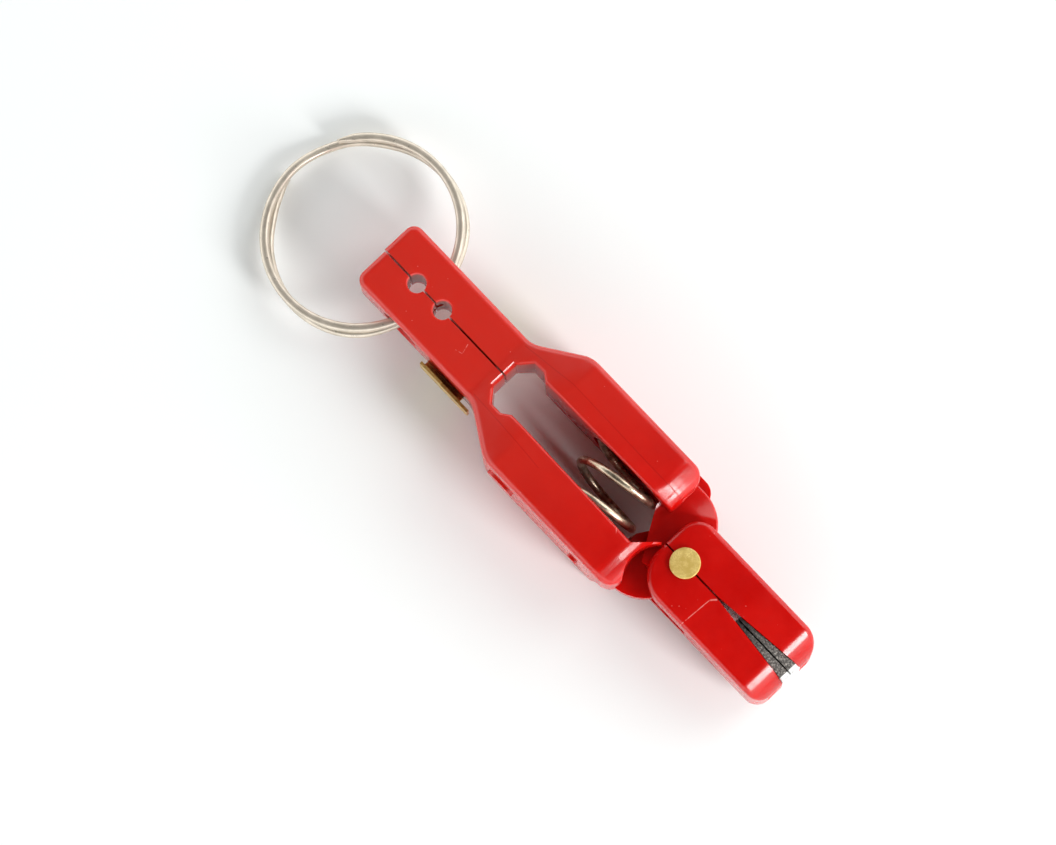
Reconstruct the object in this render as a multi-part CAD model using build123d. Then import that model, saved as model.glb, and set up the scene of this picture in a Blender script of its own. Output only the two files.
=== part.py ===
from build123d import *
import os
from math import cos, radians, sin, tan

# A pinch-pad spring clip on a split ring.
#
# Two plastic arms cross at the jaw pin, so pressing the grips together opens the jaws. The coil spring between
# the grips holds them shut, and the strap round the stem is what the arms turn against.
#
# Every shape is drawn in millimetres from the pin's axis and the clip's middle plane: +X runs to the jaw tip,
# +Y to the left grip and +Z up. placed() then lowers the clip onto its grips and centres it on its length.

# stem, the closed tail end of the two arms
TAIL_X = -58.2
TAIL_CORNER = 1.5
TAIL_STEP = 0.2  # the left tail is this much longer
STEM_HALF = 5.6
STEM_THICK = 8.6
SEAM = 0.25  # gap between the two arms along the middle
EDGE_ROUND = 0.9

# grips, the wide part round the spring window
GRIP_HALF = 10.0
GRIP_THICK = 14.2
GRIP_END_X = -6.3
GRIP_END_ROUND = 2.1
GRIP_CORNER = 2.2
NOSE_X = -4.05  # the free side of a grip reaches further, past the crossing plates
NOSE_ROUND = 1.7
SHOULDER_X = (-35.4, -28.4)
SHOULDER_ROUND = 4.0
RAMP_X = (-36.5, -27.0)
RAMP_ROUND = 3.0
CREASE_Y = 5.8
CREASE_DROP = 0.18
MARK_X = (-25.2, -11.2)
MARK_LENGTH = (4.6, 1.6)
MARK_PROUD = 0.35

# window between the grips
WINDOW_END_X = -34.8
WINDOW_END_HALF = 2.1
WINDOW_END_ROUND = 1.2
WINDOW_BULGE = 3.95
WINDOW_HALF = 3.4
WINDOW_ROUND = 0.45
HORN_X = -6.8  # where a nose's inner wall turns towards the pin
HORN_TIP_Y = 0.35

# jaws and their crossing plates
JAW_REAR_X = -3.8
JAW_TIP_X = 20.5
JAW_HALF = 6.1
JAW_THICK = 9.4
JAW_TIP_ROUND = 2.6
JAW_ROUND = 0.75
JAW_TIP_CORNER = {"left": 2.2, "right": 3.4}
REAR_CORNER_NEAR = 4.8  # plate over the arm's own neck
REAR_CORNER_FAR = 3.0  # plate on the other side
PLATE = 2.2
LAYER_GAP = 0.12
MOUTH_X = 6.5
MOUTH_ANGLE = 5.8
SLOT_END_X = 6.3

# necks, one in each of the two middle layers
NECK_CENTRE = (-5.2, 2.4)
NECK_RADIUS = 6.3
NECK_INNER = ((-8.8, 3.4), (-5.8, -1.6), (-4.3, -3.8))
NECK_BOSS = 3.2
NECK_ROUND = 0.25
CROSS_CENTRE = (-0.4, 4.2)
CROSS_RADIUS = 5.06
CROSS_ROOM = 0.95  # more room in the layer where the other neck swings

# pin
PIN_RADIUS = 1.05
PIN_FIT = 0.03
PIN_SLOT_FIT = 0.1
PIN_TRAVEL = 2.2
HEAD_RADIUS = 2.1
HEAD_THICK = 0.55
HEAD_GAP = 0.05
HEAD_EDGE = 0.15

# spring
SPRING_X = -14.3
SPRING_YAW = 4.0
SPRING_RADIUS = 5.55
SPRING_WIRE = 1.2
SPRING_PITCH = 4.2
SPRING_PHASE = 235.0
POCKET_FIT = 0.3
POCKET_END = 8.6
SPRING_END_GAP = 0.08

# pads
PAD_X = 10.1
PAD_THICK_Z = 9.0
PAD_GAP = 0.05

# tail holes, ring tunnel and ring
TUNNEL_X = -49.5
HOLE_OFFSET = 2.48
HOLE_RADIUS = 1.3
HOLE_EDGE = 0.15
RING_WIRE = 1.25
RING_TURN_GAP = 0.01
RING_LAP = RING_WIRE + RING_TURN_GAP  # height from one turn to the next
RING_ROOM = 0.365  # round the two turns, inside the tunnel
TUNNEL_RADIUS = (RING_LAP + RING_WIRE) / 2 + RING_ROOM
TUNNEL_MOUTH = 3.1
TUNNEL_FLARE = 3.4
RING_RADIUS = 13.5
RING_BACK = 0.15  # the wire lies this far behind the middle of the tunnel
RING_JOG = 36.0  # angle over which the wire steps up to its second turn
RING_JOG_AT = 152.0

# strap: its right leg stands clear of the stem, its left leg is sunk in a rebate in the left arm
PIVOT_X = -38.6
STRAP_X = (-44.3, -35.2)
STRAP_FLOOR_X = -37.4  # the floor ends here, short of the ramp; the legs run on
STRAP_THICK = 0.4
STRAP_GAP = 0.85
STRAP_TOP = 0.9  # height of the right leg above the middle plane
STRAP_BEND = 0.8
STRAP_NOTCH = (-40.4, -34.9, 0.5)
REBATE_DEPTH = 1.0
REBATE_TOP = -0.4
REBATE_ROOM = 0.6
SINK_TOP = -0.9  # height of the left leg
STUD_Y = -2.8
STUD_RADIUS = 0.8
STUD_HEAD = 1.3

NECK_TOP = JAW_THICK / 2 - PLATE - LAYER_GAP
RING_REACH = 2 * RING_RADIUS


def ring_tilt():
    """Angle, in degrees, at which the ring's far side just rests on the surface under the grips."""
    low, high = 0.0, 40.0
    for _ in range(40):
        middle = (low + high) / 2
        drop = RING_REACH * sin(radians(middle)) + RING_LAP / 2 * cos(radians(middle)) + RING_WIRE / 2
        low, high = (middle, high) if drop < GRIP_THICK / 2 else (low, middle)
    return low


def placed(shape):
    """Put a finished shape on the surface, centred on the clip's overall length."""
    tilt = radians(ring_tilt())
    far_end = TUNNEL_X - RING_BACK - RING_REACH * cos(tilt) - RING_LAP / 2 * sin(tilt) - RING_WIRE / 2
    return Pos(-(JAW_TIP_X + far_end) / 2, 0, GRIP_THICK / 2) * shape


def prism(face, low, high):
    return extrude(Pos(0, 0, low) * face, high - low)


def rim(body, on_rim):
    """The edges where an upright wall meets a top or bottom surface, kept if on_rim(wall) says so."""
    walls, caps = [], []
    for face in body.faces():
        upright = abs(face.normal_at().Z)
        if upright < 0.01 and on_rim(face.center()):
            walls += face.edges()
        elif upright > 0.2 and abs(face.center().Z) > 1:
            caps += face.edges()
    return ShapeList(edge for edge in walls if edge in caps)


def outline(*points):
    return make_face(Polyline(*points, close=True))


def rounded(face, *corners):
    """Round an outline's corners, each given as ((x, y), radius)."""
    for (x, y), radius in corners:
        vertex = face.vertices().sort_by_distance((x, y, 0))[0]
        face = fillet(vertex, radius)
    return face


def capsule(start, end, radius):
    """A slot outline between two points on one line across the clip."""
    bar = Pos(start[0], (start[1] + end[1]) / 2) * Rectangle(2 * radius, abs(end[1] - start[1]))
    return bar + Pos(*start) * Circle(radius) + Pos(*end) * Circle(radius)


# ---- arm: drawn as the left one, with its neck in the upper middle layer


def side_profile(end_x, end_round, top):
    """The arm's outline seen from the side, above the middle plane, as a prism across the clip."""
    stem, grip = STEM_THICK / 2, GRIP_THICK / 2
    tail = TAIL_X - TAIL_STEP
    face = outline((tail, 0), (end_x, 0), (end_x, grip), (RAMP_X[1], grip), (RAMP_X[0], stem), (tail, stem))
    face = rounded(
        face,
        ((end_x, grip), end_round),
        ((RAMP_X[1], grip), RAMP_ROUND),
        ((RAMP_X[0], stem), RAMP_ROUND),
    )
    body = Rot(90, 0, 0) * extrude(face, GRIP_HALF + 1, both=True)
    return body if top else mirror(body, Plane.XY)


def grip_outline(end_x, tail_x, horn):
    """Tail, shoulder and grip seen from above, with the window's edge on the inside."""
    seam = SEAM / 2
    inner = [(HORN_X, WINDOW_HALF), (end_x, HORN_TIP_Y)] if horn else [(end_x, WINDOW_HALF)]
    face = outline(
        (tail_x, seam),
        (tail_x, STEM_HALF),
        (SHOULDER_X[0], STEM_HALF),
        (SHOULDER_X[1], GRIP_HALF),
        (end_x, GRIP_HALF),
        *reversed(inner),
        (WINDOW_END_X + 4.6, WINDOW_HALF - 0.3),
        (WINDOW_END_X + 3.4, WINDOW_BULGE),
        (WINDOW_END_X + 1.6, WINDOW_BULGE),
        (WINDOW_END_X, WINDOW_END_HALF),
        (WINDOW_END_X, seam),
    )
    return rounded(
        face,
        ((tail_x, STEM_HALF), TAIL_CORNER),
        ((SHOULDER_X[0], STEM_HALF), SHOULDER_ROUND),
        ((SHOULDER_X[1], GRIP_HALF), SHOULDER_ROUND),
        ((end_x, GRIP_HALF), GRIP_CORNER),
    )


def grip_half(tail_x, top):
    """The tail and grip on one side of the middle plane. The free side has the longer nose."""
    end_x, end_round = (GRIP_END_X, GRIP_END_ROUND) if top else (NOSE_X, NOSE_ROUND)
    face = grip_outline(end_x, tail_x, horn=not top)
    height = GRIP_THICK / 2
    body = prism(face, 0, height) if top else prism(face, -height, 0)
    body = (body & side_profile(end_x, end_round, top)) - strip_cuts()
    outside = rim(body, lambda at: at.X < end_x - 0.1 and (at.Y > STEM_HALF - 0.9 or at.X < tail_x + 0.1))
    body = fillet(outside, EDGE_ROUND)
    inside = rim(body, lambda at: WINDOW_END_X + 0.1 < at.X < HORN_X and at.Y < WINDOW_BULGE + 0.1)
    return fillet(inside, WINDOW_ROUND) - window_end_cuts()


def strip_cuts():
    """Slopes the strip between the crease and the window a little down towards the window."""
    height = GRIP_THICK / 2
    low = height - CREASE_DROP * CREASE_Y / (CREASE_Y - WINDOW_HALF)
    wedge = outline((CREASE_Y, height), (0, low), (0, height + 1), (CREASE_Y, height + 1))
    cuts = Pos(RAMP_X[0], 0, 0) * (Plane.YZ * extrude(wedge, NOSE_X + 1 - RAMP_X[0]))
    return cuts + mirror(cuts, Plane.XY)


def window_end_cuts():
    """Rounds the upper and lower edge of the window's tail end."""
    r = WINDOW_END_ROUND
    slope = (GRIP_THICK - STEM_THICK) / 2 / (RAMP_X[1] - RAMP_X[0])
    crest = STEM_THICK / 2 + slope * (WINDOW_END_X - RAMP_X[0])
    block = Pos(WINDOW_END_X, 0, crest) * Box(2 * r, 2 * WINDOW_END_HALF, 2 * r)
    roll = Pos(WINDOW_END_X - r, 0, crest - r) * (Rot(90, 0, 0) * Cylinder(r, 4 * WINDOW_END_HALF))
    cuts = block - roll
    return cuts + mirror(cuts, Plane.XY)


def cross_cut():
    """Room round the other arm's plates, and more of it where the other neck swings."""
    plate_floor = -(NECK_TOP + LAYER_GAP)
    centre = Pos(*CROSS_CENTRE)
    plates = prism(centre * Circle(CROSS_RADIUS), -GRIP_THICK, plate_floor)
    neck = prism(centre * Circle(CROSS_RADIUS + CROSS_ROOM), plate_floor, 0)
    return plates + neck


def neck():
    """The flat web that crosses the middle in the upper of the two middle layers."""
    x, y = NECK_CENTRE
    front = x + NECK_RADIUS
    back = NECK_INNER[0][0] - 0.7
    web = Line((back, y + NECK_RADIUS), (x, y + NECK_RADIUS))
    web += RadiusArc((x, y + NECK_RADIUS), (front, y), NECK_RADIUS)
    web += Polyline(
        (front, y),
        (front, -STEM_HALF / 2),
        NECK_INNER[2],
        NECK_INNER[1],
        NECK_INNER[0],
        (back, NECK_INNER[0][1] + 0.4),
        (back, y + NECK_RADIUS),
    )
    face = make_face(web) + capsule((0, 0), (0, PIN_TRAVEL), NECK_BOSS)
    web = prism(face, LAYER_GAP / 2, NECK_TOP)
    arc = web.edges().filter_by(GeomType.CIRCLE).group_by(Axis.Z)[-1].sort_by(Axis.Y)[-1]
    return fillet(arc, NECK_ROUND)


def jaw_outline(rear_corner, tip_corner):
    """One jaw seen from above, on the -Y side of the seam."""
    seam = SEAM / 2
    mouth = seam + (JAW_TIP_X - MOUTH_X) * tan(radians(MOUTH_ANGLE))
    face = outline(
        (JAW_REAR_X, -seam),
        (MOUTH_X, -seam),
        (JAW_TIP_X, -mouth),
        (JAW_TIP_X, -JAW_HALF),
        (JAW_REAR_X, -JAW_HALF),
    )
    return rounded(face, ((JAW_REAR_X, -JAW_HALF), rear_corner), ((JAW_TIP_X, -JAW_HALF), tip_corner))


def jaw(side):
    """Jaw on the far side of the seam: solid in front, two plates with a slot between them at the pin."""
    half = JAW_THICK / 2
    upper = prism(jaw_outline(REAR_CORNER_NEAR, JAW_TIP_CORNER[side]), 0, half)
    lower = prism(jaw_outline(REAR_CORNER_FAR, JAW_TIP_CORNER[side]), -half, 0)
    slot_floor = -(NECK_TOP + LAYER_GAP)
    depth = SLOT_END_X - JAW_REAR_X + 1
    slot = Box(depth, 4 * JAW_HALF, LAYER_GAP / 2 - slot_floor)
    slot = Pos(SLOT_END_X - depth / 2, 0, (slot_floor + LAYER_GAP / 2) / 2) * slot
    length = JAW_TIP_X - JAW_REAR_X + 10
    profile = fillet(Rectangle(length, JAW_THICK).vertices().group_by(Axis.X)[-1], JAW_TIP_ROUND)
    tip = Pos(JAW_TIP_X - length / 2, 0, 0) * (Rot(90, 0, 0) * extrude(profile, 2 * JAW_HALF, both=True))
    halves = []
    for half_jaw in (upper & tip, lower & tip):
        outside = rim(half_jaw, lambda at: at.X < JAW_TIP_X - 0.1 and at.Y < -JAW_HALF / 2)
        halves.append(fillet(outside, JAW_ROUND))
    return halves[0] + halves[1] - slot


def tail_cuts():
    """The two round holes on the seam and the ring's tunnel, which flares at its mouth."""
    cuts = []
    for x in (TUNNEL_X - HOLE_OFFSET, TUNNEL_X + HOLE_OFFSET):
        hole = Cylinder(HOLE_RADIUS, GRIP_THICK)
        edge = Cone(HOLE_RADIUS, HOLE_RADIUS + 2 * HOLE_EDGE, 2 * HOLE_EDGE)
        rim = Pos(0, 0, STEM_THICK / 2) * edge
        cuts.append(Pos(x, 0, 0) * (hole + rim + mirror(rim, Plane.XY)))
    tunnel = Rot(90, 0, 0) * Cylinder(TUNNEL_RADIUS, 3 * STEM_HALF)
    flare = Rot(-90, 0, 0) * Cone(TUNNEL_RADIUS, TUNNEL_MOUTH, TUNNEL_FLARE)
    flare = Pos(0, STEM_HALF - TUNNEL_FLARE / 2 + 0.02, 0) * flare
    cuts.append(Pos(TUNNEL_X, 0, 0) * (tunnel + flare))
    return cuts


def rebate():
    """Room in the left arm's side for the sunk leg of the strap, with space for the arm to rock."""
    start, end = STRAP_X[0] - REBATE_ROOM, STRAP_X[1] + REBATE_ROOM
    height = REBATE_TOP + GRIP_THICK / 2
    room = Box(end - start, 2 * REBATE_DEPTH, height)
    return Pos((start + end) / 2, STEM_HALF, REBATE_TOP - height / 2) * room


def pocket(sign):
    """Round blind pocket for one end of the spring, on the line of the slightly crooked coil."""
    radius = SPRING_RADIUS + SPRING_WIRE / 2 + POCKET_FIT
    bore = Pos(0, POCKET_END / 2, 0) * (Rot(90, 0, 0) * Cylinder(radius, POCKET_END))
    return Pos(SPRING_X, 0, 0) * (Rot(0, 0, sign * SPRING_YAW) * bore)


def marks():
    """Low oval marks on the grip's outer wall."""
    raised = []
    for x, length in zip(MARK_X, MARK_LENGTH):
        oval = Rot(-90, 0, 0) * extrude(Ellipse(length / 2, length / 3.2), 1 + MARK_PROUD)
        raised.append(Pos(x, GRIP_HALF - 1, 0) * oval)
    return raised


def arm(side):
    """One moulding: tail half, grip, neck, and the jaw on the other side of the seam."""
    sign = 1 if side == "left" else -1
    tail_x = TAIL_X - (TAIL_STEP if side == "left" else 0)
    body = grip_half(tail_x, top=True) + grip_half(tail_x, top=False)
    body = body - cross_cut() + neck() + jaw(side)
    body -= pocket(sign)
    travel = PIN_TRAVEL if side == "left" else 0.0
    radius = PIN_RADIUS + (PIN_SLOT_FIT if side == "left" else PIN_FIT)
    pin_slot = capsule((0, 0), (0, travel), radius) if travel else Circle(radius)
    body -= prism(pin_slot, -JAW_THICK, JAW_THICK)
    for cut in tail_cuts():
        body -= cut
    if side == "left":
        body -= rebate()
    for mark in marks():
        body += mark
    return body if side == "left" else Rot(180, 0, 0) * body


def right_arm():
    """The right arm also carries the stud that holds the strap."""
    foot = STEM_THICK / 2
    stud = Pos(PIVOT_X, STUD_Y, -foot - STRAP_THICK / 2) * Cylinder(STUD_RADIUS, STRAP_THICK)
    head = Pos(PIVOT_X, STUD_Y, -foot - STRAP_THICK - 0.2) * Cylinder(STUD_HEAD, 0.4)
    return arm("right") + stud + head


# ---- metal pieces and pads


def jaw_pin():
    """Brass rivet: a plain shank with a flat round head at each end."""
    reach = JAW_THICK / 2 + HEAD_GAP
    head = fillet(Cylinder(HEAD_RADIUS, HEAD_THICK).edges().group_by(Axis.Z)[-1], HEAD_EDGE)
    top = Pos(0, 0, reach + HEAD_THICK / 2) * head
    return Cylinder(PIN_RADIUS, 2 * reach) + top + mirror(top, Plane.XY)


def tension_spring():
    """Coil spring across the window, turned slightly so that its right end is nearer the jaws."""
    reach = POCKET_END - SPRING_END_GAP - SPRING_WIRE / 2
    coil = Helix(SPRING_PITCH, 2 * reach, SPRING_RADIUS)
    wire = sweep(Plane(coil @ 0, z_dir=coil % 0) * Circle(SPRING_WIRE / 2), path=coil, is_frenet=True)
    across = Plane((0, reach, 0), x_dir=(1, 0, 0), z_dir=(0, -1, 0))
    return Pos(SPRING_X, 0, 0) * (Rot(0, 0, SPRING_YAW) * (across * (Rot(0, 0, SPRING_PHASE) * wire)))


def pad(sign):
    """Wedge of granular rubber that fills the mouth between the jaw's inner face and the middle."""
    slope = tan(radians(MOUTH_ANGLE))
    gap, seam = PAD_GAP / 2, SEAM / 2
    face = outline(
        (PAD_X, gap),
        (JAW_TIP_X, gap),
        (JAW_TIP_X, seam + (JAW_TIP_X - MOUTH_X) * slope),
        (PAD_X, seam + (PAD_X - MOUTH_X) * slope),
    )
    body = prism(face, -PAD_THICK_Z / 2, PAD_THICK_Z / 2)
    return body if sign > 0 else mirror(body, Plane.XZ)


def on_ring(angle, level):
    """A point on the middle line of the ring's wire."""
    return Vector(RING_RADIUS * cos(radians(angle)), RING_RADIUS * sin(radians(angle)), level)


def along_ring(angle):
    return Vector(-sin(radians(angle)), cos(radians(angle)), 0)


def split_ring():
    """One wire wound twice round: a flat lower turn, a short step up, and a flat upper turn."""
    turn = 360 - RING_JOG
    low, high = -RING_LAP / 2, RING_LAP / 2
    landing = RING_JOG_AT + RING_JOG
    lower = Pos(0, 0, low) * CenterArc((0, 0, 0), RING_RADIUS, RING_JOG_AT - turn, turn)
    upper = Pos(0, 0, high) * CenterArc((0, 0, 0), RING_RADIUS, landing, turn)
    steps = []
    for t in (0, 0.25, 0.5, 0.75, 1):
        steps.append(on_ring(RING_JOG_AT + RING_JOG * t, low + RING_LAP * t * t * (3 - 2 * t)))
    rise = Spline(*steps, tangents=(along_ring(RING_JOG_AT), along_ring(landing)))
    path = Wire([*lower.edges(), *rise.edges(), *upper.edges()])
    ring = sweep(Plane(path @ 0, z_dir=path % 0) * Circle(RING_WIRE / 2), path=path)
    return Pos(TUNNEL_X - RING_BACK, 0, 0) * (Rot(0, -ring_tilt(), 0) * (Pos(-RING_RADIUS, 0, 0) * ring))


def tail_strap():
    """Brass strap bent up round the stem: a tall notched leg on the right, a short sunk one on the left."""
    right, left = STEM_HALF + STRAP_GAP, STEM_HALF - STRAP_THICK
    foot = -STEM_THICK / 2
    outside = outline(
        (-right - STRAP_THICK, STRAP_TOP),
        (-right - STRAP_THICK, foot - STRAP_THICK),
        (STEM_HALF, foot - STRAP_THICK),
        (STEM_HALF, SINK_TOP),
        (left, SINK_TOP),
        (left, foot),
        (-right, foot),
        (-right, STRAP_TOP),
    )
    face = rounded(
        outside,
        ((-right - STRAP_THICK, foot - STRAP_THICK), STRAP_BEND + STRAP_THICK),
        ((STEM_HALF, foot - STRAP_THICK), STRAP_THICK + 0.3),
        ((-right, foot), STRAP_BEND),
        ((left, foot), 0.3),
    )
    length = STRAP_X[1] - STRAP_X[0]
    body = Pos(STRAP_X[0], 0, 0) * (Plane.YZ * extrude(face, length))
    body -= Pos(STRAP_FLOOR_X + length / 2, 0, foot) * Box(length, 4 * right, 2 * STRAP_BEND)
    start, end, depth = STRAP_NOTCH
    body -= Pos((start + end) / 2, -right, STRAP_TOP) * Box(end - start, 4 * STRAP_THICK, 2 * depth)
    return body - Pos(PIVOT_X, STUD_Y, foot) * Cylinder(STUD_RADIUS, 4 * STRAP_THICK)


def main():
    nodes = {
        "left_arm": arm("left"),
        "right_arm": right_arm(),
        "jaw_pin": jaw_pin(),
        "tension_spring": tension_spring(),
        "left_pad": pad(-1),
        "right_pad": pad(1),
        "tail_strap": tail_strap(),
        "split_ring": split_ring(),
    }
    os.makedirs("parts", exist_ok=True)
    for name, shape in nodes.items():
        export_step(placed(shape), f"parts/{name}.step")


if __name__ == "__main__":
    main()
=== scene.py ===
import math
import bpy
from mathutils import Matrix, Vector, noise


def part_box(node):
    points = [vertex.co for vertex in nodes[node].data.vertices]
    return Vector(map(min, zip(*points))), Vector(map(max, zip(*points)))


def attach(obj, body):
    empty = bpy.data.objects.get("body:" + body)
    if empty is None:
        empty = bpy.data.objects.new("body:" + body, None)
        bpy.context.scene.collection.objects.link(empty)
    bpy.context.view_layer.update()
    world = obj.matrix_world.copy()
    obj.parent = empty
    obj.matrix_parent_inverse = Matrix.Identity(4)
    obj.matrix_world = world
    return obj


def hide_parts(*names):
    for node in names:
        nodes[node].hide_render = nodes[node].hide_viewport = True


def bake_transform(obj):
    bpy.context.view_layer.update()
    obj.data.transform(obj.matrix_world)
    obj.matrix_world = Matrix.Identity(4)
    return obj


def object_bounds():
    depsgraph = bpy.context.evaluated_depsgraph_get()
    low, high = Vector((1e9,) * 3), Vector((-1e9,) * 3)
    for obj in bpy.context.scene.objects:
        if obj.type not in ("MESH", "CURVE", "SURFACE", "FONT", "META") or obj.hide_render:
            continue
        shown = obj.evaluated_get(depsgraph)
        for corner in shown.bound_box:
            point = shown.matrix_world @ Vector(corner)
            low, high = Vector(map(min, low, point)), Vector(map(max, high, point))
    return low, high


# A red pinch-pad clip on a split ring. Lengths are in millimetres from the jaw pin's middle:
# +X to the jaw tip, +Y to the left grip, +Z up. at() turns such a point into the frame's metres.

MM = 0.001

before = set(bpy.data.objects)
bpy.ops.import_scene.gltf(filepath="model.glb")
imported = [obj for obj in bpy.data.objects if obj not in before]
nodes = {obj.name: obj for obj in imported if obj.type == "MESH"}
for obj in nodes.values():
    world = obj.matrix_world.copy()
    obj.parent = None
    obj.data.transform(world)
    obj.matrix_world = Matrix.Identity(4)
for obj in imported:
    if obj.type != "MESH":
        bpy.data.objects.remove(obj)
cad_box = [list(corner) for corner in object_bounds()]
pin_low, pin_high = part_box("jaw_pin")
PIN = (pin_low + pin_high) / 2


def at(x, y, z):
    return PIN + Vector((x, y, z)) * MM


# ---- materials


class Nodes:
    """A material's node tree, with short calls for the few node kinds used here."""

    def __init__(self, name):
        self.material = bpy.data.materials.new(name)
        self.material.use_nodes = True
        self.tree = self.material.node_tree
        self.tree.nodes.clear()
        output = self.tree.nodes.new("ShaderNodeOutputMaterial")
        self.shader = self.tree.nodes.new("ShaderNodeBsdfPrincipled")
        self.tree.links.new(self.shader.outputs[0], output.inputs["Surface"])

    def put(self, socket, value):
        if isinstance(value, bpy.types.NodeSocket):
            self.tree.links.new(value, socket)
        else:
            socket.default_value = value

    def surface(self, **values):
        for name, value in values.items():
            self.put(self.shader.inputs[name.replace("_", " ")], value)

    def place(self):
        """The point on the piece, in millimetres from the pin."""
        coordinates = self.tree.nodes.new("ShaderNodeTexCoord")
        shifted = self.vector("SUBTRACT", coordinates.outputs["Object"], tuple(PIN))
        return self.vector("MULTIPLY", shifted, (1000, 1000, 1000))

    def vector(self, operation, a, b, out=0):
        node = self.tree.nodes.new("ShaderNodeVectorMath")
        node.operation = operation
        self.put(node.inputs[0], a)
        self.put(node.inputs[1], b)
        return node.outputs[out]

    def maths(self, operation, a, b=0.0, clamp=False):
        node = self.tree.nodes.new("ShaderNodeMath")
        node.operation = operation
        node.use_clamp = clamp
        self.put(node.inputs[0], a)
        self.put(node.inputs[1], b)
        return node.outputs[0]

    def noise(self, place, scale, detail=3.0, roughness=0.5):
        node = self.tree.nodes.new("ShaderNodeTexNoise")
        self.put(node.inputs["Vector"], place)
        node.inputs["Scale"].default_value = scale
        node.inputs["Detail"].default_value = detail
        node.inputs["Roughness"].default_value = roughness
        return node.outputs["Fac"]

    def cells(self, place, scale):
        node = self.tree.nodes.new("ShaderNodeTexVoronoi")
        self.put(node.inputs["Vector"], place)
        node.inputs["Scale"].default_value = scale
        return node.outputs["Distance"]

    def span(self, value, low, high, to_low=0.0, to_high=1.0):
        """Maps low..high to to_low..to_high, held at both ends."""
        node = self.tree.nodes.new("ShaderNodeMapRange")
        for socket, item in zip(node.inputs, (value, low, high, to_low, to_high)):
            self.put(socket, item)
        return node.outputs[0]

    def mix(self, share, a, b):
        node = self.tree.nodes.new("ShaderNodeMix")
        node.data_type = "RGBA"
        self.put(node.inputs[0], share)
        self.put(node.inputs[6], a if isinstance(a, bpy.types.NodeSocket) else (*a, 1.0))
        self.put(node.inputs[7], b if isinstance(b, bpy.types.NodeSocket) else (*b, 1.0))
        return node.outputs[2]

    def bump(self, height, depth_mm, strength=1.0):
        node = self.tree.nodes.new("ShaderNodeBump")
        node.inputs["Strength"].default_value = strength
        node.inputs["Distance"].default_value = depth_mm * MM
        self.put(node.inputs["Height"], height)
        return node.outputs[0]

    def parts(self, vector):
        node = self.tree.nodes.new("ShaderNodeSeparateXYZ")
        self.put(node.inputs[0], vector)
        return node.outputs

    def bend(self, value, start, end, slope):
        """Height of a surface that is level up to start and has fallen to its full slope at end."""
        run = end - start
        turn = self.span(value, start, end, 0.0, run)
        turn = self.maths("MULTIPLY", self.maths("MULTIPLY", turn, turn), -slope / (2 * run))
        straight = self.maths("MAXIMUM", self.maths("SUBTRACT", value, end), 0.0)
        return self.maths("ADD", turn, self.maths("MULTIPLY", straight, -slope))

    def near_line(self, flat, start, end, width):
        """1 on a straight line drawn on the top faces, falling to 0 at its width."""
        a, b = Vector((*start, 0)), Vector((*end, 0))
        run = b - a
        along = self.vector("DOT_PRODUCT", self.vector("SUBTRACT", flat, tuple(a)), tuple(run), 1)
        share = self.maths("DIVIDE", along, run.length_squared, clamp=True)
        across = self.tree.nodes.new("ShaderNodeVectorMath")
        across.operation = "MULTIPLY_ADD"
        self.put(across.inputs[0], self.joined(share))
        across.inputs[1].default_value = run
        across.inputs[2].default_value = a
        away = self.vector("DISTANCE", flat, across.outputs[0], 1)
        return self.span(away, 0.0, width, 1.0, 0.0)

    def joined(self, value):
        node = self.tree.nodes.new("ShaderNodeCombineXYZ")
        for socket in node.inputs:
            self.put(socket, value)
        return node.outputs[0]


RED_DEEP = (0.47, 0.003, 0.002)
RED_LIGHT = (0.55, 0.006, 0.004)
RED_PAINTED_SHEEN = (0.55, 0.024, 0.015)  # the stem's painted sheen: paler red standing in for the white haze reflected off its top
RED_PALE = (0.90, 0.42, 0.38)  # specks and scratches
RED_SHADED = (0.28, 0.003, 0.003)  # painted shade along the parting line
LINE_WIDTH = 0.10
PAINTED_SHEEN_X = (-32.0, -5.0)  # the painted sheen fades out between these
PLASTIC_ROUGH = (0.14, 0.26)
PLASTIC_RELIEF = 0.014
CREASES = (
    ((-35.8, 4.7), (-27.5, 5.6)),
    ((-27.5, 5.6), (-6.3, 5.45)),
    ((-35.8, -4.7), (-22.5, -5.5)),
)
# Each bend is where a top face begins to fall, where it has reached its new slope, and that slope.
GRIP_BEND = (5.4, 6.2, 0.10)  # across the grips, from the parting line outwards
TIP_BENDS = ((16.5, 17.8, 0.55), (19.0, 20.4, 1.1))  # along the jaws
NOSE_BENDS = ((-3.7, -2.5, 0.50), (-1.9, -0.9, -0.50))  # along the grips, from each nose's end
NOSE_X = {"left_arm": -6.3, "right_arm": -4.05}
SCRATCHES = {
    "left_arm": (
        ((5.8, -1.1), (5.5, -6.1), 0.09),
        ((6.4, -0.3), (5.9, -0.9), 0.16),
    ),
    "right_arm": (
        ((-41.3, -0.7), (-40.9, -2.1), 0.07),
        ((-41.9, -2.4), (-40.9, -2.1), 0.05),
        ((-9.6, -3.4), (-9.1, -4.0), 0.08),
    ),
}


def rolled_over(n, place, nose_x):
    """Height in millimetres of the soft fall of the grips' tops, the noses and the jaw tips."""
    x, y = n.parts(place)[:2]
    height = n.bend(n.maths("ABSOLUTE", y), *GRIP_BEND)
    for start, end, slope in TIP_BENDS:
        height = n.maths("ADD", height, n.bend(x, start, end, slope))
    for start, end, slope in NOSE_BENDS:
        height = n.maths("ADD", height, n.bend(x, nose_x + start, nose_x + end, slope))
    return height


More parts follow.
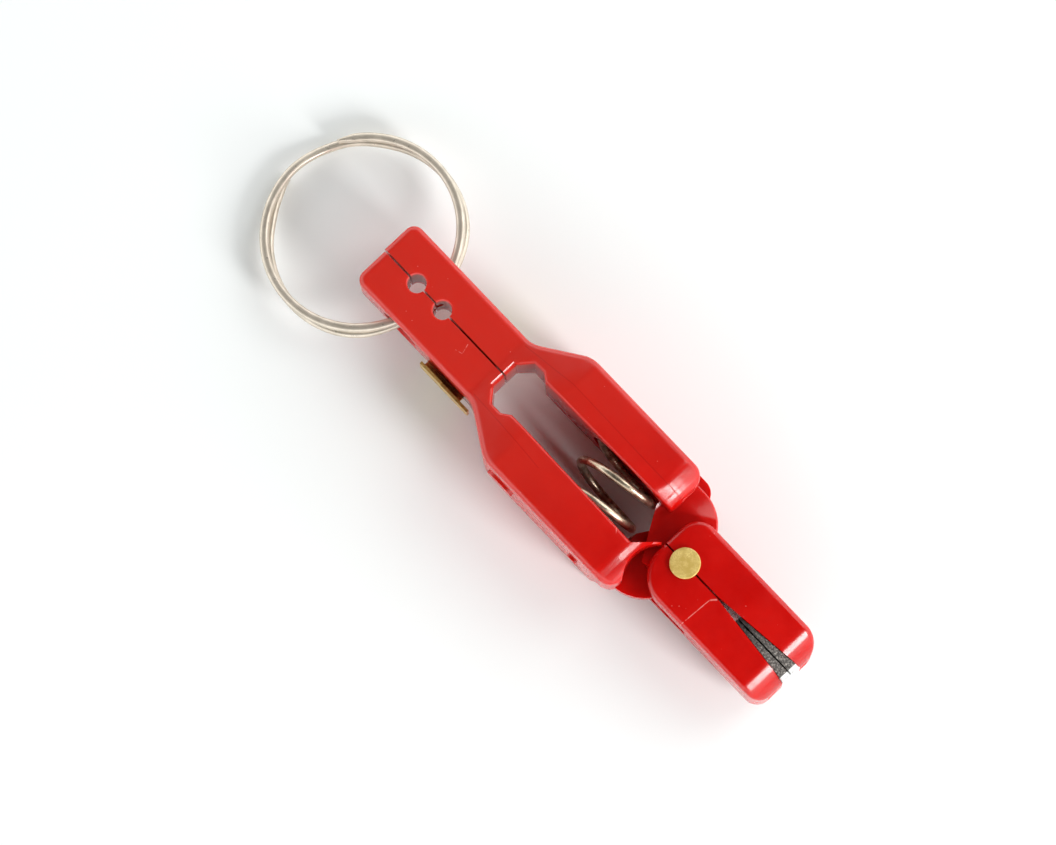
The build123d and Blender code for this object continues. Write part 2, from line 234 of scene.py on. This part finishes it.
def red_plastic(name, scratches, nose_x):
    """Semi-gloss moulded plastic: deep red, faintly mottled, with pale specks and scratches."""
    n = Nodes(name)
    place = n.place()
    flat = n.vector("MULTIPLY", place, (1, 1, 0))
    cloud = n.noise(place, 0.16, 4.0, 0.6)
    colour = n.mix(n.span(cloud, 0.35, 0.68), RED_DEEP, RED_LIGHT)
    # Painted sheen: paler red over the stem, fading out towards the jaws.
    colour = n.mix(n.span(n.parts(place)[0], *PAINTED_SHEEN_X, 1.0, 0.0), colour, RED_PAINTED_SHEEN)
    crease = 0.0
    for start, end in CREASES:
        crease = n.maths("MAXIMUM", n.near_line(flat, start, end, LINE_WIDTH), crease)
    # Painted shade: a dark line drawn along the parting line's creases.
    colour = n.mix(n.maths("MULTIPLY", crease, 0.45), colour, RED_SHADED)
    specks = n.span(n.cells(place, 0.8), 0.025, 0.06, 1.0, 0.0)
    worn = n.maths("MULTIPLY", specks, n.span(n.noise(place, 0.21, 2.0), 0.5, 0.6))
    breaks = n.span(n.noise(place, 1.9, 3.0), 0.38, 0.5)
    for start, end, width in scratches:
        line = n.maths("MULTIPLY", n.near_line(flat, start, end, width), breaks)
        worn = n.maths("MAXIMUM", worn, line)
    colour = n.mix(n.maths("MULTIPLY", worn, 0.6), colour, RED_PALE)
    rough = n.span(n.noise(place, 0.5, 4.0, 0.65), 0.3, 0.7, *PLASTIC_ROUGH)
    grain = n.noise(place, 0.9, 1.0)
    grain = n.maths("SUBTRACT", grain, n.maths("MULTIPLY", crease, 0.8))
    grain = n.maths("MULTIPLY", grain, PLASTIC_RELIEF)
    relief = n.maths("ADD", grain, rolled_over(n, place, nose_x))
    n.surface(
        Base_Color=colour,
        Roughness=rough,
        Normal=n.bump(relief, 1.0),
        Subsurface_Weight=0.5,
        Subsurface_Radius=(1.0, 0.10, 0.07),
        Subsurface_Scale=1.8 * MM,
        IOR=1.5,
    )
    return n.material


def brass(name, dull, bright, rough, metallic):
    """Rolled brass with small pits, darker where it has tarnished."""
    n = Nodes(name)
    place = n.place()
    pits = n.span(n.noise(place, 9.0, 4.0, 0.7), 0.38, 0.6)
    tarnish = n.span(n.noise(place, 0.8, 3.0, 0.6), 0.4, 0.62)
    colour = n.mix(n.maths("MULTIPLY", pits, tarnish), dull, bright)
    n.surface(
        Base_Color=colour,
        Metallic=metallic,
        Roughness=n.span(n.noise(place, 3.0, 4.0, 0.6), 0.3, 0.7, rough, rough + 0.2),
        Normal=n.bump(n.noise(place, 11.0, 3.0, 0.6), 0.015, 0.8),
    )
    return n.material


def wire_metal(name, dark, light, rough, grain, metallic):
    """Drawn wire: faint streaks, and a little variation in brightness along it."""
    n = Nodes(name)
    place = n.place()
    streaks = n.noise(n.vector("MULTIPLY", place, (1.0, 1.0, 7.0)), grain, 4.0, 0.6)
    colour = n.mix(n.span(n.noise(place, 0.6, 3.0), 0.35, 0.65), dark, light)
    n.surface(
        Base_Color=colour,
        Metallic=metallic,
        Roughness=n.span(streaks, 0.3, 0.7, rough, rough + 0.12),
        Normal=n.bump(streaks, 0.008, 0.5),
    )
    return n.material


def rubber_crumb(name, tip_x):
    """Bonded rubber grains: dark, with scattered lighter grains, painted shade towards the pin and
    a painted highlight on the cut end.
    """
    n = Nodes(name)
    place = n.place()
    grains = n.span(n.cells(place, 4.2), 0.05, 0.5)
    light = n.span(n.noise(place, 3.4, 3.0, 0.7), 0.46, 0.66)
    colour = n.mix(light, (0.09, 0.082, 0.074), (0.66, 0.61, 0.55))
    colour = n.mix(n.maths("MULTIPLY", grains, 0.5), colour, (0.035, 0.03, 0.028))
    x = n.parts(place)[0]
    # Painted shade: the pads fade to near black towards the pin, where they lie between the jaws.
    painted_shade = n.span(x, 11.0, 16.5, 0.08, 1.0)
    colour = n.mix(painted_shade, (0.006, 0.003, 0.003), colour)
    # Painted highlight: the cut end is painted near white to stand in for the glare off it.
    end = n.span(x, tip_x - 0.80, tip_x - 0.70)
    colour = n.mix(end, colour, (0.93, 0.93, 0.92))
    n.surface(Base_Color=colour, Roughness=0.8, Normal=n.bump(grains, 0.05, 0.8))
    return n.material


# ---- pieces


def mesh_piece(name, points, faces, material):
    mesh = bpy.data.meshes.new(name)
    mesh.from_pydata(points, [], faces)
    mesh.polygons.foreach_set("use_smooth", [True] * len(mesh.polygons))
    mesh.materials.append(material)
    mesh.update()
    piece = bpy.data.objects.new(name, mesh)
    bpy.context.scene.collection.objects.link(piece)
    return piece


def wire_mesh(name, path, material, sides=20):
    """A closed tube along path, a list of (centre, across, up, width, height, squareness)."""
    points, faces = [], []
    for centre, across, up, width, height, square in path:
        for k in range(sides):
            a = 2 * math.pi * k / sides
            c, s = math.cos(a), math.sin(a)
            c = math.copysign(abs(c) ** square, c)
            s = math.copysign(abs(s) ** square, s)
            points.append(centre + across * (c * width * MM / 2) + up * (s * height * MM / 2))
    for i in range(len(path) - 1):
        for k in range(sides):
            a, b = i * sides + k, i * sides + (k + 1) % sides
            faces.append((a, b, b + sides, a + sides))
    faces.append(tuple(range(sides))[::-1])
    last = (len(path) - 1) * sides
    faces.append(tuple(range(last, last + sides)))
    piece = mesh_piece(name, points, faces, material)
    for cap in (-1, -2):
        piece.data.polygons[len(piece.data.polygons) + cap].use_smooth = False
    return piece


def smooth_step(t):
    t = max(0.0, min(1.0, t))
    return t * t * (3 - 2 * t)


RING_RADIUS = 13.5
RING_WIRE = (1.25, 1.2)
RING_SQUARE = 0.82  # below 1 the wire is squarer than round
RING_LAP = 1.26
RING_JOG_AT, RING_JOG = 152.0, 36.0
RING_X, RING_TILT = -49.65, 12.535
RING_TAPER = 11.0  # degrees over which each end of the wire thins
RING_SLIP = 0.7  # how far the lower turn has slid towards the clip
RING_GRIPPED = (16.0, 44.0)  # degrees from the tunnel to the slip, and over which it grows
RING_SETTLE = 32.0  # degrees from the turn's ends over which the slip dies out


def split_ring(material):
    """The double-wound ring, its wire a little flattened and its two ends thinned."""
    turn = Matrix.Rotation(math.radians(-RING_TILT), 3, "Y")
    begin, end = RING_JOG_AT - 360 + RING_JOG, RING_JOG_AT + 360
    path = []
    steps = 540
    for i in range(steps + 1):
        angle = begin + (end - begin) * i / steps
        rise = smooth_step((angle - RING_JOG_AT) / RING_JOG)
        a = math.radians(angle)
        out = Vector((math.cos(a), math.sin(a), 0))
        from_end = min(angle - begin, end - angle)
        share = 0.45 + 0.55 * smooth_step(from_end / RING_TAPER)
        level = (rise - 0.5) * RING_LAP
        from_tunnel = math.degrees(math.acos(math.cos(a)))
        free = smooth_step((from_tunnel - RING_GRIPPED[0]) / RING_GRIPPED[1])
        settled = smooth_step(min(angle - begin, RING_JOG_AT - angle) / RING_SETTLE)
        slip = RING_SLIP * free * settled
        local = out * RING_RADIUS + Vector((slip - RING_RADIUS, 0, level))
        centre = at(RING_X, 0, 0) + turn @ local * MM
        up = turn @ Vector((0, 0, 1))
        path.append((centre, turn @ out, up, RING_WIRE[0] * share, RING_WIRE[1], RING_SQUARE))
    piece = wire_mesh("ring_wire", path, material, 24)
    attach(piece, "split_ring")
    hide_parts("split_ring")


SPRING_X, SPRING_YAW = -14.3, 4.0
SPRING_RADIUS, SPRING_WIRE, SPRING_PITCH, SPRING_PHASE = 5.55, 1.2, 4.2, 235.0
SPRING_REACH = 7.92


def coil_spring(material):
    """The coil between the grips."""
    turns = 2 * SPRING_REACH / SPRING_PITCH
    yaw = Matrix.Rotation(math.radians(SPRING_YAW), 3, "Z")
    path = []
    steps = 300
    for i in range(steps + 1):
        a = math.radians(SPRING_PHASE) + 2 * math.pi * turns * i / steps
        y = SPRING_REACH - 2 * SPRING_REACH * i / steps
        out = Vector((math.cos(a), 0, math.sin(a)))
        rise = -SPRING_PITCH / (2 * math.pi)
        ahead = Vector((-math.sin(a) * SPRING_RADIUS, rise, math.cos(a) * SPRING_RADIUS))
        side = out.cross(ahead.normalized())
        local = yaw @ (out * SPRING_RADIUS + Vector((0, y, 0)))
        centre = at(SPRING_X, 0, 0) + local * MM
        path.append((centre, yaw @ out, yaw @ side, SPRING_WIRE, SPRING_WIRE, 1.0))
    piece = wire_mesh("coil_spring", path, material)
    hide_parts("tension_spring")
    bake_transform(piece)


PAD_GRAIN = 0.1  # voxel of the pads, and so their finest grain
PAD_ROUGH = 0.16
PAD_END = 0.3  # the cut end is smooth over this length


def crumb_pad(node, body, material, tip_x):
    """A pad with the rough, grainy faces of bonded crumb."""
    source = nodes[node]
    copy = bpy.data.objects.new(node + "_shape", source.data.copy())
    bpy.context.scene.collection.objects.link(copy)
    remesh = copy.modifiers.new("grain", "REMESH")
    remesh.mode = "VOXEL"
    remesh.voxel_size = PAD_GRAIN * MM
    graph = bpy.context.evaluated_depsgraph_get()
    mesh = bpy.data.meshes.new_from_object(copy.evaluated_get(graph))
    bpy.data.objects.remove(copy)
    normals = [vertex.normal.copy() for vertex in mesh.vertices]
    for vertex, normal in zip(mesh.vertices, normals):
        mm = (vertex.co - PIN) / MM
        grain = noise.noise(mm * 2.6) + 0.6 * noise.noise(mm * 6.1)
        ends = smooth_step((tip_x - mm.x) / PAD_END)
        vertex.co -= normal * (PAD_ROUGH * MM * ends * (0.5 + 0.5 * grain))
    mesh.name = node + "_crumb"
    mesh.materials.clear()
    mesh.materials.append(material)
    mesh.polygons.foreach_set("use_smooth", [True] * len(mesh.polygons))
    piece = bpy.data.objects.new(node + "_crumb", mesh)
    bpy.context.scene.collection.objects.link(piece)
    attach(piece, body)
    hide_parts(node)


def finish_cad(node, material, crease_angle=28.0):
    """Gives a CAD node its material and smooth shading over its rounded faces."""
    piece = nodes[node]
    piece.data.materials.clear()
    piece.data.materials.append(material)
    piece.data.polygons.foreach_set("use_smooth", [True] * len(piece.data.polygons))
    weld = piece.modifiers.new("weld", "WELD")
    weld.merge_threshold = 1e-6
    split = piece.modifiers.new("edges", "EDGE_SPLIT")
    split.split_angle = math.radians(crease_angle)


BRASS_CREASE = 40.0

pad_tip_x = (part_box("left_pad")[1].x - PIN.x) / MM
nickel = wire_metal("ring_nickel", (0.56, 0.50, 0.41), (0.68, 0.61, 0.51), 0.26, 0.9, 0.55)
steel = wire_metal("spring_steel", (0.34, 0.26, 0.18), (0.70, 0.61, 0.46), 0.24, 1.6, 0.9)
rubber = rubber_crumb("pad_rubber", pad_tip_x)
split_ring(nickel)
coil_spring(steel)
crumb_pad("left_pad", "left_arm", rubber, pad_tip_x)
crumb_pad("right_pad", "right_arm", rubber, pad_tip_x)
for arm in ("left_arm", "right_arm"):
    finish_cad(arm, red_plastic(arm + "_plastic", SCRATCHES[arm], NOSE_X[arm]))
rivet = brass("rivet_brass", (0.58, 0.40, 0.10), (0.84, 0.67, 0.25), 0.34, 0.3)
sheet = brass("strap_brass", (0.50, 0.33, 0.08), (0.90, 0.70, 0.24), 0.24, 0.6)
finish_cad("jaw_pin", rivet, BRASS_CREASE)
finish_cad("tail_strap", sheet, BRASS_CREASE)

# ---- floor, light and camera

FLOOR_HALF = 1.5
FLOOR_DROP = 0.02  # below the lowest point of the clip
FLOOR_DARK, FLOOR_LIGHT = (0.875, 0.905, 0.90), (0.90, 0.93, 0.925)
SKY_DARKENS = (0.25, 0.85)  # heights in the sky between which it fades from horizon to zenith
LIGHTS_AIM_X = -25


def floor():
    n = Nodes("floor")
    place = n.place()
    shade = n.mix(n.noise(place, 0.02, 2.0), FLOOR_DARK, FLOOR_LIGHT)
    n.surface(Base_Color=shade, Roughness=0.9, Specular_IOR_Level=0.1)
    h = FLOOR_HALF
    points = [(-h, -h, 0), (h, -h, 0), (h, h, 0), (-h, h, 0)]
    piece = mesh_piece("floor", points, [(0, 1, 2, 3)], n.material)
    piece.location.z = min(cad_box[0][2], 0.0) - FLOOR_DROP * MM


def soft_light(name, azimuth, elevation, distance, size, power, tint=(1, 1, 1)):
    """An area light aimed at the clip. Azimuth is measured from +X towards +Y."""
    a, e = math.radians(azimuth), math.radians(elevation)
    away = Vector((math.cos(a) * math.cos(e), math.sin(a) * math.cos(e), math.sin(e)))
    data = bpy.data.lights.new(name, "AREA")
    data.shape = "RECTANGLE"
    data.size, data.size_y = size
    data.energy = power
    data.color = tint
    lamp = bpy.data.objects.new(name, data)
    lamp.location = at(LIGHTS_AIM_X, 0, 0) + away * distance
    lamp.rotation_mode = "QUATERNION"
    lamp.rotation_quaternion = away.to_track_quat("Z", "Y")
    bpy.context.scene.collection.objects.link(lamp)


def surroundings(horizon, zenith):
    """A white studio that is darkest straight above the clip."""
    world = bpy.data.worlds.new("studio")
    world.use_nodes = True
    tree = world.node_tree
    height = tree.nodes.new("ShaderNodeSeparateXYZ")
    tree.links.new(tree.nodes.new("ShaderNodeTexCoord").outputs["Generated"], height.inputs[0])
    fade = tree.nodes.new("ShaderNodeMapRange")
    fade.interpolation_type = "SMOOTHSTEP"
    for socket, value in zip(list(fade.inputs)[1:5], (*SKY_DARKENS, horizon, zenith)):
        socket.default_value = value
    tree.links.new(height.outputs[2], fade.inputs[0])
    background = tree.nodes["Background"]
    background.inputs[0].default_value = (1.0, 1.0, 1.0, 1.0)
    tree.links.new(fade.outputs[0], background.inputs[1])
    bpy.context.scene.world = world


CAMERA_AZIMUTH, CAMERA_ELEVATION, CAMERA_ROLL = 51.115, 82.861, -4.61
CAMERA_TARGET = (-28.549, -1.775, 0.0)
CAMERA_DISTANCE, CAMERA_LENS = 0.9, 228.86


def camera():
    a, e = math.radians(CAMERA_AZIMUTH), math.radians(CAMERA_ELEVATION)
    back = Vector((math.sin(a) * math.cos(e), -math.cos(a) * math.cos(e), math.sin(e)))
    up = (Vector((0, 0, 1)) - back * back.z).normalized()
    right = up.cross(back)
    roll = Matrix.Rotation(math.radians(CAMERA_ROLL), 3, back)
    right, up = roll @ right, roll @ up
    data = bpy.data.cameras.new("camera")
    data.lens = CAMERA_LENS
    data.clip_start, data.clip_end = 0.05, 10
    eye = bpy.data.objects.new("camera", data)
    bpy.context.scene.collection.objects.link(eye)
    eye.matrix_world = Matrix.Translation(at(*CAMERA_TARGET) + back * CAMERA_DISTANCE) @ Matrix(
        (right, up, back)
    ).transposed().to_4x4()
    bpy.context.scene.camera = eye


floor()
surroundings(2.3, 0.03)
soft_light("key", 72, 48, 0.8, (0.4, 0.4), 1.4, (1.0, 0.985, 0.96))
soft_light("end", 7, 29, 0.6, (0.14, 0.26), 2.4)
camera()
bpy.context.scene.view_settings.view_transform = "Standard"
